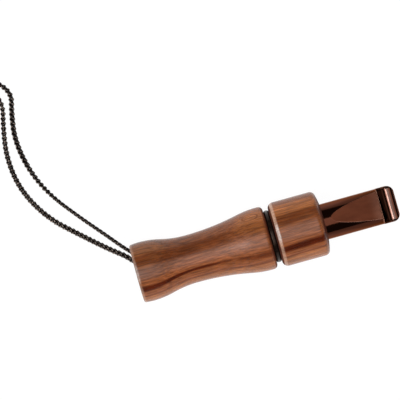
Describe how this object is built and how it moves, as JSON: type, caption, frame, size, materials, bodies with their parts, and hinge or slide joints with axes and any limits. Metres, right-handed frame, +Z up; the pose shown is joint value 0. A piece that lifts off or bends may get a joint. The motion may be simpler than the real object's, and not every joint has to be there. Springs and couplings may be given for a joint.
{
  "type": "bird call",
  "caption": "Wooden bird call on its side: turned barrel with a flared bell, black joint ring, reed collar, flattened dark mouthpiece and a thin braided neck cord",
  "frame": {"origin": "middle of the call's bounding box on the table it lies on", "axes": "+X along the call toward the mouthpiece, +Z up, +Y to the side the cord leaves"},
  "size_m": [0.1747, 0.1199, 0.0253],
  "materials": {
    "wood": "satin lacquer over reddish turned wood",
    "mouthpiece": "polished dark reddish brown",
    "rubber": "smooth black rubber",
    "brass": "plain brass",
    "tone_board": "moulded dark plastic",
    "cork": "cut cork",
    "cord": "dark braided cord",
    "tie": "woven black strap"
  },
  "bodies": {
    "barrel": {"barrel": "wood", "lanyard_pin": "brass", "lanyard_knot": "cord", "lanyard_inner_leg": "cord", "lanyard_outer_leg": "cord", "lanyard_coil": "cord", "lanyard_tie": "tie"},
    "joint_seals": {"joint_ring": "rubber", "tenon_rings": "rubber"},
    "collar": {"collar": "wood", "tone_board": "tone_board", "stopper_ring": "rubber", "reed_root": "brass", "reed_wedge": "cork"},
    "reed": {"reed_tongue": "brass"},
    "stem_seal": {"stem_ring": "rubber"},
    "mouthpiece": {"mouthpiece": "mouthpiece"}
  },
  "joints": [
    {"name": "collar_pull", "type": "slide", "parent": "barrel", "child": "joint_seals", "axis": [1, 0, 0], "range_m": [0, 0.03]},
    {"name": "collar_twist", "type": "hinge", "parent": "joint_seals", "child": "collar", "pos_m": [0.0052, 0, 0.01265], "axis": [1, 0, 0], "continuous": true},
    {"name": "reed_flex", "type": "hinge", "parent": "collar", "child": "reed", "pos_m": [0.0019, 0, 0.01277], "axis": [0, 1, 0], "range_deg": [-3, 3.5], "stiffness_Nm_per_rad": 0.0005},
    {"name": "mouthpiece_pull", "type": "slide", "parent": "collar", "child": "stem_seal", "axis": [1, 0, 0], "range_m": [0, 0.012]},
    {"name": "mouthpiece_twist", "type": "hinge", "parent": "stem_seal", "child": "mouthpiece", "pos_m": [0.0182, 0, 0.01265], "axis": [1, 0, 0], "continuous": true}
  ]
}
